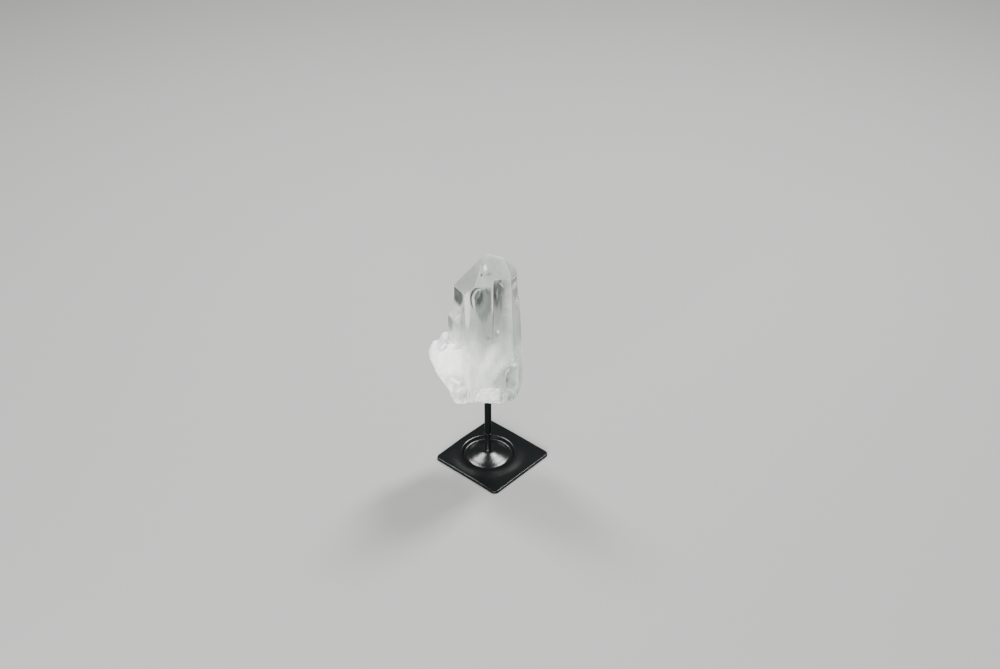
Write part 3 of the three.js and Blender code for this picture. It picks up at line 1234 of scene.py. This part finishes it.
@dataclass(frozen=True)
class Scoop:
    """A shell-shaped break: an egg that is cut out, with ripples that spread from where the blow fell."""

    middle: Numbers
    halves: Numbers
    turn: float = 0.0
    subdivisions: int = 5
    blow: Numbers = (0.0, 0.0, 1.0)
    ripple_spacing: float = 2.4
    ripple_height: float = 0.05
    ripple_stray: float = 0.8  # how far a ripple strays from a circle, in ripples
    stray_width: float = 6.0
    dent_depth: float = 1.2
    dent_width: float = 7.0

    def build(self) -> bpy.types.Object:
        """Shapes the egg with its ripples.

        Returns:
            The egg as a closed solid.
        """
        egg = Lump(
            self.middle,
            block_flats(*self.halves, self.turn),
            sharpness=2,
            roughness=0,
            subdivisions=self.subdivisions,
            chips=UNCHIPPED,
            grade=Grade.SHELL,
        ).build()
        blow = Vector(self.middle) + Vector(self.blow)

        def wave(place: Vector) -> float:
            """How far the ripples and dents move a place on the egg.

            Args:
                place: the point, in millimetres.

            Returns:
                The distance outwards, in millimetres.
            """
            stray = self.ripple_stray * noise.noise(place / self.stray_width)
            spread = (place - blow).length / self.ripple_spacing + stray
            dent = self.dent_depth * noise.noise(place / self.dent_width)
            return self.ripple_height * math.sin(math.tau * spread) + dent

        swell(egg, wave)
        return egg


def nick(point: Numbers, size: float, turn: float = 60.8) -> Scoop:
    """A small shell-shaped nick in an edge or a face.

    Args:
        point: where it is, just outside the surface.
        size: half its depth, in millimetres.
        turn: the azimuth that the surface there looks to.

    Returns:
        The nick as a scoop.
    """
    return Scoop(
        point,
        (1.5 * size, size, 2.2 * size),
        turn,
        subdivisions=3,
        ripple_spacing=0.8,
        ripple_height=0.03,
        dent_depth=0.3,
    )


@dataclass(frozen=True)
class EtchMark:
    """A three-sided pit with its point upwards, as quartz's tip faces carry."""

    point: Numbers
    azimuth: float = FRONT_TURN
    width: float = 2.2
    height: float = 4.6
    depth: float = 0.45
    proud: float = 0.1  # the share of its depth by which the cutting cone stands clear of the face

    def build(self) -> bpy.types.Object:
        """The three-sided cone that cuts the pit.

        Returns:
            The cone as a closed solid.
        """
        deselect_everything()
        bpy.ops.mesh.primitive_cone_add(vertices=3, radius1=1, radius2=0, depth=1)
        cone = bpy.context.object
        outward = direction(self.azimuth, TIP_SLOPE)
        across = Vector((0, 0, 1)).cross(outward).normalized()
        turn = Matrix((across, outward.cross(across), -outward)).transposed().to_4x4()
        # With a radius of 1 the cone's three-sided foot is the root of 3 wide and 1.5 high.
        size = Matrix.Diagonal(
            (self.width / math.sqrt(3), self.height / 1.5, (1 + self.proud) * self.depth, 1)
        )
        middle = Vector(self.point) - (1 - self.proud) / 2 * self.depth * outward
        cone.data.transform(Matrix.Translation(middle) @ turn @ size)
        cone.data.materials.append(Grade.SHELL.material())
        with editing(cone):
            bpy.ops.mesh.normals_make_consistent(inside=False)
        return cone


FRONT_FACE = Cleft(FRONT_TURN, 90, (0, -19.75, 0))  # where the front layers come together lower down
LEFT_FACE = Cleft(FRONT_TURN + 300, 90, tuple(direction(FRONT_TURN + 300) * 25.3))  # the same on the left
CREST_BEVELS = (  # tip faces behind and on the left that all the columns share
    Cleft(161.6, 50, (0, 0, 203.8)),
    Cleft(262, 27, (-5.2, 0, 205.2)),
)
CORNER_BREAKS = (  # what is missing of the right corner, more of it further down
    Cleft(90, 90, (28.6, 0, 0)),
    Cleft(90, 106, (28.6, 0, 89)),
    Cleft(84, 132, (26.6, 0, 80.2)),
)


@dataclass(frozen=True)
class QuartzCrystal(Piece):
    """Columns grown side by side, a shorter point, a broken flank and a rough break underneath."""

    node: ClassVar[str] = "quartz_crystal"
    slot: ClassVar[str] = "quartz"
    main_columns: tuple[Column, ...] = (
        Column(
            (16.2, 23.4, 16.7, 13.6, 21.7, 25.2),
            lean=(3.3, 3, 3, 0, 0, 0),
            cuts=(*CREST_BEVELS, *CORNER_BREAKS, FRONT_FACE),
        ),
        Column((17.7, 0, 14, 8, 21.7, 25.2), lean=(2.1, 0, 0, 0, 0, 0), cuts=(*CREST_BEVELS, FRONT_FACE)),
        Column((19.6, 12.5, 14, 8, 14, 21.9), lean=(0, 0, 0, 0, 0, 3), cuts=(*CREST_BEVELS, LEFT_FACE)),
    )
    side_layers: tuple[Column, ...] = (
        Column(
            (15.6, 24.3, 19.5, 12, 8, 8),
            tips=(196, 197.5, 194, 188, 186, 186),
            lean=(0, 2.9, 2.9, 0, 0, 0),
            level=168,
            cuts=CORNER_BREAKS,
        ),
        Column((0, 17.5, 18.6, 15.2, 9, 4), tips=(184, 184, 184, 182, 184, 184), cuts=CORNER_BREAKS),
        Column((0, 4, 6, 17, 22.4, 18), tips=(160, 160, 160, 156, 168, 160)),
        Column((13, -6, -2, 5, 24.7, 30.3), tips=(192, 200, 200, 186, 184.9, 192), foot=98),
    )
    broken_flank: tuple[Lump, ...] = (
        Lump(
            (-30, -4, 116),
            (
                (270, 5, 13.6), (270, 60, 12.2), (270, 90, 12), (0.8, 90, 9.6), (300, 88, 12.5),
                (180, 90, 9), (235, 90, 12.5), (90, 90, 8), (0, 180, 12),
            ),
            seed=2.3,
        ),
        Lump(
            (-32.6, -4, 103),
            (
                (270, 10, 19.5), (270, 40, 22.6), (270, 90, 15.8), (270, 119.3, 9.8), (0.8, 90, 10),
                (318, 86, 13.5), (180, 88, 10), (235, 88, 16), (90, 90, 16), (0, 180, 31),
            ),
            sharpness=19,
            roughness=0.02,
            seed=4.1,
            subdivisions=7,
            chips=Chips(size=6.5, depth=0.6, small_size=1.8, small_depth=0.14),
        ),
    )
    broken_foot: tuple[Lump, ...] = (
        Lump(
            (-1, 0.5, 81),
            (*block_flats(26, 15.6, 11.5), (90, 130, 19.5)),
            sharpness=6,
            roughness=0.05,
            seed=6.4,
            subdivisions=7,
        ),
        Lump((-20.9, -8.5, 80.2), block_flats(10.3, 10.5, 10.4, 20), sharpness=4, seed=0.7),
        Lump(
            (5.5, -9, 78.4),
            (
                (-8, 90, 10), (82, 58, 13), (172, 90, 9), (262, 90, 12), (82, 130, 11.5),
                (0, 0, 8), (0, 180, 7.9),
            ),
            sharpness=9,
            seed=1.9,
        ),
        Lump(
            (1.6, -13.5, 83.2),
            (
                (2, 90, 7.6), (90, 84, 9), (140, 80, 9), (180, 90, 7), (262, 66, 9.5),
                (10, 14, 7.2), (0, 180, 8),
            ),
            sharpness=9,
            roughness=0.06,
            seed=3.2,
            chips=Chips(size=4, depth=0.5, small_size=1.6, small_depth=0.12),
        ),
    )
    nicks: tuple[Scoop, ...] = (
        nick((22.9, -8.2, 187.5), 0.6),
        nick((23.7, -7.5, 180), 1.1),
        nick((24.9, -7.0, 165), 0.9),
        nick((26.7, -4.6, 157), 1.3),
        nick((27.4, -3.9, 151), 0.8),
        nick((25.4, -9.5, 134), 0.7),
        nick((-32.0, -3.0, 157), 0.7, turn=300),
        nick((17.2, -17.6, 127), 0.6, turn=30),
        nick((-18.0, -20.4, 116), 0.9, turn=330),
        nick((-18.1, -20.5, 99), 1.3, turn=330),
        nick((-17.9, -20.4, 87), 1.1, turn=330),
    )
    scoops: tuple[Scoop, ...] = (
        Scoop((27, -31, 98), (19, 17.5, 22), subdivisions=6, blow=(-8, 16, 18), dent_depth=1.8),
        Scoop((13, 7, 66), (12, 8, 8), turn=20),
        Scoop((-14, 6, 65), (9.5, 11, 9), turn=-15),
        Scoop((-6, -14, 64.5), (8, 7, 8)),
        Scoop((21, -3, 64.5), (8, 7, 9)),
        Scoop((16, 17, 72), (13, 7, 16)),
        Scoop((-28, 13, 70), (11, 9, 20)),
    )
    etch_marks: tuple[EtchMark, ...] = (
        EtchMark((-1.8, -10.2, 199.2)),
        EtchMark((9, -13, 195.5), width=0.9, height=1.6, depth=0.2),
    )
    hole_radius: float = 3.3
    hole_top: float = 84.3
    drill_length: float = 60.0
    look: QuartzLook = QuartzLook()
    finishes: tuple[QuartzFinish, ...] = QUARTZ_FINISHES

    def build(self) -> bpy.types.Object:
        """Grows the crystal together, breaks it and drills the stem's hole.

        Returns:
            The finished crystal in its place.
        """
        grown = (*self.main_columns, *self.side_layers, *self.broken_flank, *self.broken_foot)
        crystal, *others = [part.build() for part in grown]
        for other in others:
            combine(crystal, other, "UNION")
        for taken in (*self.scoops, *self.nicks, *self.etch_marks):
            combine(crystal, taken.build(), "DIFFERENCE")
        combine(crystal, self.stem_hole(), "DIFFERENCE")
        return settle(keep_largest(crystal), "quartz")

    def stem_hole(self) -> bpy.types.Object:
        """Makes the drill for the stem's blind hole.

        Returns:
            The drill as a closed solid.
        """
        deselect_everything()
        bpy.ops.mesh.primitive_cylinder_add(
            vertices=48,
            radius=self.hole_radius,
            depth=self.drill_length,
            location=(0, 0, self.hole_top - self.drill_length / 2),
        )
        return put_in_mesh(bpy.context.object)

    def dress(self, piece: bpy.types.Object) -> None:
        """Fills the materials that the grades of the crystal's surface already hold.

        Args:
            piece: the crystal; not used.
        """
        look = self.look.group()
        for finish in self.finishes:
            finish.dress(look)


# ---------------------------------------------------------------- stand


WORN_ANGLE = 40.0  # edges of turned pieces that turn by more degrees are rounded
CREASE_ANGLE = 30.0  # and their edges sharper than this stay sharp when they are shaded

def ring_step(change: float, scale: float, height: float) -> None:
    """Draws the selected ring of edges out into the next ring, as on a lathe.

    Args:
        change: how far up the next ring lies.
        scale: its radius over this ring's radius.
        height: its height.
    """
    bpy.ops.mesh.extrude_region_move(TRANSFORM_OT_translate={"value": (0, 0, change)})
    bpy.ops.transform.resize(value=(scale, scale, 1), center_override=(0, 0, height))


class Ends(Enum):
    """What closes a turned piece: flat ends, a wall that comes back to where it began, or nothing yet."""

    CAPPED = "capped"
    ROUND = "round"
    OPEN = "open"


def turned(profile: list[tuple[float, float]], segments: int, ends: Ends) -> bpy.types.Object:
    """A piece turned about the stem's axis.

    Args:
        profile: its outline as (radius, height), upwards along the outside.
        segments: how many sides a ring has.
        ends: how the piece is closed.

    Returns:
        The piece, in millimetres.
    """
    deselect_everything()
    (radius, height), *others = profile
    bpy.ops.mesh.primitive_circle_add(vertices=segments, radius=radius)
    piece = bpy.context.object
    piece.data.transform(Matrix.Translation((0, 0, height)))
    with editing(piece):
        for next_radius, next_height in others:
            ring_step(next_height - height, next_radius / radius, next_height)
            radius, height = next_radius, next_height
        bpy.ops.mesh.select_mode(type="EDGE")
        bpy.ops.mesh.select_all(action="DESELECT")
        bpy.ops.mesh.select_non_manifold()
        if ends is Ends.CAPPED:
            bpy.ops.mesh.fill_holes(sides=0)
        elif ends is Ends.ROUND:
            bpy.ops.mesh.bridge_edge_loops()
        bpy.ops.mesh.select_all(action="SELECT")
        bpy.ops.mesh.normals_make_consistent(inside=False)
    return piece


def soften(piece: bpy.types.Object, angle: float) -> None:
    """Shades an object smooth except over edges sharper than an angle.

    Args:
        piece: the object.
        angle: the angle in degrees.
    """
    only(piece)
    bpy.ops.object.shade_smooth_by_angle(angle=math.radians(angle))


@dataclass(frozen=True)
class BasePlate(Piece):
    """A square of sheet steel with a corner to the front, pressed into a round well with a dome in it."""

    node: ClassVar[str] = "base_plate"
    slot: ClassVar[str] = "black_paint"
    side: float = 70.0
    centre: Numbers = tuple((middle_mm("base_plate") - STEM_AXIS).xy)  # from the stem's axis
    corner_radius: float = 4.5
    sheet: float = 1.2
    hole_radius: float = 2.1
    section: tuple[tuple[float, float], ...] = (
        (2.1, 5.8), (3.8, 5.8), (6, 5.3), (9, 4.35), (14, 2.85), (17, 1.75), (18.6, 1.3), (20.2, 1.3),
        (21.3, 1.8), (22.5, 3.35), (23.2, 3.8), (24.2, 3.95), (26.4, 3.8), (33, 2.9), (42, 2.5), (49.5, 2.4),
        (54, 2.4),
    )
    round_radius: float = 26.4  # up to here the rings of the mesh are round, and further out they square up
    rings_inside: int = 46
    rings_outside: int = 16
    fold_radius: float = 0.8
    fold_rings: int = 5
    skirt_rings: int = 2
    foot_clearance: float = 0.001  # keeps the skirt's foot from dipping under the table by a rounding error
    segments: int = 288
    crease: float = 40.0  # edges sharper than this many degrees stay sharp
    search_steps: int = 40  # how often the search for the outline is halved
    finish: BlackFinish = SATIN_PAINT

    def height(self, distance: float) -> float:
        """The pressed surface's height at a distance from the stem's axis, along a smooth curve.

        Args:
            distance: the distance, in millimetres.

        Returns:
            The height, in millimetres.
        """
        section = self.section
        last = len(section) - 2
        index = min(max(sum(1 for point in section if point[0] <= distance) - 1, 0), last)
        (left, low), (right, high) = section[index], section[index + 1]
        span = right - left

        def slope(at: int) -> float:
            """The curve's slope at one of the section's points."""
            before, after = section[max(at - 1, 0)], section[min(at + 1, last + 1)]
            return (after[1] - before[1]) / (after[0] - before[0])

        t = min(max((distance - left) / span, 0.0), 1.0)
        bulge_left = (2 * t**3 - 3 * t**2 + 1) * low + (t**3 - 2 * t**2 + t) * span * slope(index)
        bulge_right = (-2 * t**3 + 3 * t**2) * high + (t**3 - t**2) * span * slope(index + 1)
        return bulge_left + bulge_right

    def reach(self, turn: float, inset: float) -> float:
        """How far the plate's outline lies from the stem's axis.

        Args:
            turn: the direction in radians, anticlockwise from +X.
            inset: how far inside the outline to measure.

        Returns:
            The distance in millimetres.
        """
        radius = self.corner_radius - inset
        core = self.side / 2 - self.corner_radius
        quarter = math.pi / 4
        ray = Vector((math.cos(turn - quarter), math.sin(turn - quarter)))
        start = Matrix.Rotation(-quarter, 2) @ Vector((-self.centre[0], -self.centre[1]))
        near, far = 0.0, self.side
        for _ in range(self.search_steps):
            middle = (near + far) / 2
            point = start + ray * middle
            beyond = Vector((max(abs(point.x) - core, 0), max(abs(point.y) - core, 0)))
            near, far = (middle, far) if beyond.length < radius else (near, middle)
        return near

    def pressed(self, ring: int, turn: float) -> tuple[float, float]:
        """Where the sheet's upper side lies on one ring of the mesh, in one direction.

        Args:
            ring: the ring's number, counted from the hole.
            turn: the direction in radians, anticlockwise from +X.

        Returns:
            The distance from the stem's axis and the height, in millimetres.
        """
        edge = self.reach(turn, self.fold_radius)
        beyond_round = ring - self.rings_inside
        beyond_flat = beyond_round - self.rings_outside
        if beyond_round <= 0:
            distance = self.hole_radius + (self.round_radius - self.hole_radius) * ring / self.rings_inside
            return distance, self.height(distance)
        if beyond_flat <= 0:
            distance = self.round_radius + (edge - self.round_radius) * (beyond_round / self.rings_outside)
            return distance, self.height(distance)
        fold = math.radians(min(90.0, 90 / self.fold_rings * beyond_flat))
        distance = self.reach(turn, self.fold_radius * (1 - math.sin(fold)))
        level = self.height(edge) - self.fold_radius * (1 - math.cos(fold))
        return distance, level * (1 - max(0, beyond_flat - self.fold_rings) / self.skirt_rings)

    def build(self) -> bpy.types.Object:
        """Presses the plate from rings, folds its edge down and gives it the sheet's thickness.

        Returns:
            The finished plate in its place.
        """
        count = 1 + self.rings_inside + self.rings_outside + self.fold_rings + self.skirt_rings
        profile = [(self.hole_radius + number, 0.0) for number in range(count)]
        plate = turned(profile, self.segments, Ends.OPEN)

        def in_the_press(places: np.ndarray) -> np.ndarray:
            """Brings each ring's vertices to where the ring lies on the pressed sheet.

            Args:
                places: the vertices' places, one per row.

            Returns:
                Their new places.
            """
            for row, (x, y, _) in enumerate(places):
                turn = math.atan2(y, x)
                distance, level = self.pressed(round(math.hypot(x, y) - self.hole_radius), turn)
                level += self.foot_clearance
                places[row] = (distance * math.cos(turn), distance * math.sin(turn), level)
            return places

        reshape(plate, in_the_press)
        with editing(plate):
            bpy.ops.mesh.normals_make_consistent(inside=False)
        if plate.data.polygons[0].normal.z < 0:
            with editing(plate):
                bpy.ops.mesh.flip_normals()
        finish_with(plate, "SOLIDIFY", thickness=self.sheet, offset=-1, use_even_offset=False)
        soften(plate, self.crease)
        return settle(plate, "pressed_plate")

    def dress(self, piece: bpy.types.Object) -> None:
        """Paints the plate."""
        self.finish.dress(piece)


@dataclass(frozen=True)
class Pin(Piece):
    """The pin with its foot ring and collar, riveted through the dome."""

    node: ClassVar[str] = "pin"
    slot: ClassVar[str] = "black_steel"
    radius: float = 2.6
    seat: float = 6.1
    foot_radius: float = 3.5
    foot_height: float = 0.7
    flare_width: float = 0.3
    flare_top: float = 1.6
    flare_bottom: float = 1.1
    collar_radius: float = 3.4
    collar_bottom: float = 24.6
    collar_height: float = 1.6
    collar_slope: float = 0.1
    spigot_radius: float = 2.2
    spigot_chamfer: float = 0.8
    top: float = 60.0
    rivet_radius: float = 1.8
    head_radius: float = 3.1
    head_height: float = 1.3
    head_chamfer: float = 0.5
    head_bottom: float = 3.0
    edge: float = 0.16
    segments: int = 64
    finish: BlackFinish = LACQUERED_STEEL

    def build(self) -> bpy.types.Object:
        """Turns the pin and breaks its edges.

        Returns:
            The finished pin in its place.
        """
        collar_top = self.collar_bottom + self.collar_height
        profile = [
            (self.head_radius - self.head_chamfer, self.head_bottom),
            (self.head_radius, self.head_bottom + self.head_chamfer),
            (self.head_radius, self.head_bottom + self.head_height),
            (self.rivet_radius, self.head_bottom + self.head_height),
            (self.rivet_radius, self.seat),
            (self.foot_radius, self.seat),
            (self.foot_radius, self.seat + self.foot_height),
            (self.radius + self.flare_width, self.seat + self.flare_bottom),
            (self.radius, self.seat + self.flare_top),
            (self.radius, self.collar_bottom),
            (self.collar_radius, self.collar_bottom + self.collar_slope),
            (self.collar_radius, collar_top),
            (self.spigot_radius, collar_top),
            (self.spigot_radius, self.top - self.spigot_chamfer),
            (self.spigot_radius - self.spigot_chamfer, self.top),
        ]
        pin = turned(profile, self.segments, Ends.CAPPED)
        break_edges(pin, self.edge, segments=3, angle=WORN_ANGLE)
        soften(pin, CREASE_ANGLE)
        return settle(pin, "riveted_pin")

    def dress(self, piece: bpy.types.Object) -> None:
        """Lacquers the pin."""
        self.finish.dress(piece)


@dataclass(frozen=True)
class Sleeve(Piece):
    """The tube that slips over the pin and is glued into the crystal."""

    node: ClassVar[str] = "sleeve"
    slot: ClassVar[str] = "black_paint"
    radius: float = 3.0
    bore: float = 2.5
    bottom: float = box_mm("sleeve")[0][2]
    top: float = box_mm("sleeve")[1][2]
    edge: float = 0.12
    segments: int = 64
    finish: BlackFinish = DULL_TUBE

    def build(self) -> bpy.types.Object:
        """Turns the tube and breaks the edges of its ends.

        Returns:
            The finished sleeve in its place.
        """
        profile = [
            (self.radius, self.bottom),
            (self.radius, self.top),
            (self.bore, self.top),
            (self.bore, self.bottom),
        ]
        sleeve = turned(profile, self.segments, Ends.ROUND)
        break_edges(sleeve, self.edge, segments=2, angle=WORN_ANGLE)
        soften(sleeve, CREASE_ANGLE)
        return settle(sleeve, "stem_sleeve")

    def dress(self, piece: bpy.types.Object) -> None:
        """Paints the sleeve."""
        self.finish.dress(piece)


# ---------------------------------------------------------------- studio


@dataclass(frozen=True)
class SoftBox:
    """A lamp with a large soft face that looks at a point."""

    name: str
    place: Numbers
    size: tuple[float, float]
    power: float
    aim: Numbers = (0.0, 0.0, 0.08)

    def build(self) -> None:
        """Hangs the lamp."""
        lamp = bpy.data.lights.new(self.name, "AREA")
        lamp.shape = "RECTANGLE"
        lamp.size, lamp.size_y = self.size
        lamp.energy = self.power
        holder = bpy.data.objects.new(self.name, lamp)
        holder.location = self.place
        holder.rotation_euler = (Vector(self.place) - Vector(self.aim)).to_track_quat("Z", "Y").to_euler()
        bpy.context.scene.collection.objects.link(holder)


@dataclass(frozen=True)
class Studio:
    """A plain pale floor, soft boxes round the table and the camera. Places and sizes are in metres."""

    floor_size: float = 12.0
    floor_tint: Numbers = colour(0.2, 0.2, 0.197)
    floor_roughness: float = 0.9
    floor_specular: float = 0.1
    world_tint: Numbers = colour(1.0, 1.0, 1.0)
    world_light: float = 0.2
    camera_place: Numbers = (-0.0420, -0.9181, 0.7815)
    camera_down: float = 35.34
    camera_turn: float = -3.17
    camera_near: float = 0.01
    lens: float = 50.0
    boxes: tuple[SoftBox, ...] = (
        SoftBox("left_box", (-0.46, 0.62, 1.27), (0.24, 0.46), 31.0),
        SoftBox("right_box", (0.54, 0.56, 1.27), (0.24, 0.46), 50.0),
        SoftBox("front_box", (-0.55, -1.62, 0.5), (1.5, 0.8), 172.0),
    )

    def lay_floor(self) -> None:
        """Lays the floor and keeps it apart from the object."""
        deselect_everything()
        bpy.ops.mesh.primitive_plane_add(size=self.floor_size)
        floor = bpy.context.object
        floor.name = "floor"
        material = bpy.data.materials.new("plain_floor")
        material.use_nodes = True
        shader = material.node_tree.nodes["Principled BSDF"]
        shader.inputs["Base Color"].default_value = self.floor_tint
        shader.inputs["Roughness"].default_value = self.floor_roughness
        shader.inputs["Specular IOR Level"].default_value = self.floor_specular
        floor.data.materials.append(material)

    def light_room(self) -> None:
        """Hangs the lamps in an evenly lit room."""
        for box in self.boxes:
            box.build()
        world = bpy.data.worlds.new("room")
        bpy.context.scene.world = world
        world.use_nodes = True
        background = world.node_tree.nodes["Background"]
        background.inputs["Color"].default_value = self.world_tint
        background.inputs["Strength"].default_value = self.world_light

    def set_up_camera(self) -> None:
        """Sets up the camera and makes it the scene's."""
        camera = bpy.data.objects.new("camera", bpy.data.cameras.new("camera"))
        camera.data.lens = self.lens
        camera.data.clip_start = self.camera_near
        camera.location = self.camera_place
        camera.rotation_euler = (math.radians(90 - self.camera_down), 0, math.radians(self.camera_turn))
        bpy.context.scene.collection.objects.link(camera)
        bpy.context.scene.camera = camera

    def build(self) -> None:
        """Builds the whole studio."""
        self.lay_floor()
        self.light_room()
        self.set_up_camera()


def main() -> None:
    """Makes each piece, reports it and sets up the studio."""
    logging.basicConfig(level=logging.INFO, format="%(message)s")
    for maker in (QuartzCrystal(), BasePlate(), Pin(), Sleeve()):
        piece = maker.install()
        LOG.info("%s: %d faces", piece.name, len(piece.data.polygons))
    Studio().build()


if __name__ == "__main__":
    main()
